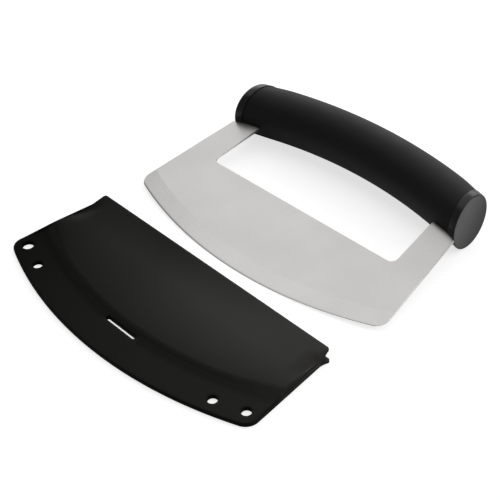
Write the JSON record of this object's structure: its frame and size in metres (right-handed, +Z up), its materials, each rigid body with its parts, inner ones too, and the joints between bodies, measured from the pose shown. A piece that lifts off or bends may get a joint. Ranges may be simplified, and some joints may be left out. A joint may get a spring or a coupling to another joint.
{
  "type": "mezzaluna",
  "caption": "Single curved chopping blade with two arms and a bowed soft-grip handle, lying beside its slip-on plastic blade guard.",
  "frame": {"origin": "middle of the bounding box's underside, on the surface that the tool and its guard lie on", "axes": "+X along the handle from the left cap to the right cap, +Y from the guard over the cutting edge to the handle, +Z up from the surface"},
  "size_m": [0.1884, 0.2102, 0.0317],
  "materials": {
    "blade_steel": "satin, finely ground along the blade",
    "soft_grip": "matt soft-touch",
    "cap_plastic": "glossy moulded",
    "core_plastic": "moulded",
    "fastener_steel": "bright",
    "guard_plastic": "semi-matt moulded"
  },
  "bodies": {
    "mezzaluna": {"blade": "blade_steel", "grip_sleeve": "soft_grip", "handle_core_upper": "core_plastic", "handle_core_lower": "core_plastic", "left_end_cap": "cap_plastic", "right_end_cap": "cap_plastic", "left_front_tang_pin": "fastener_steel", "left_back_tang_pin": "fastener_steel", "right_front_tang_pin": "fastener_steel", "right_back_tang_pin": "fastener_steel", "left_core_screw": "fastener_steel", "middle_core_screw": "fastener_steel", "right_core_screw": "fastener_steel"},
    "guard": {"guard_upper_shell": "guard_plastic", "guard_lower_shell": "guard_plastic"}
  },
  "joints": [
    {"name": "guard_slide", "type": "slide", "parent": "mezzaluna", "child": "guard", "axis": [-0.0297, -0.9996, 0], "range_m": [-0.008, 0.1]}
  ]
}
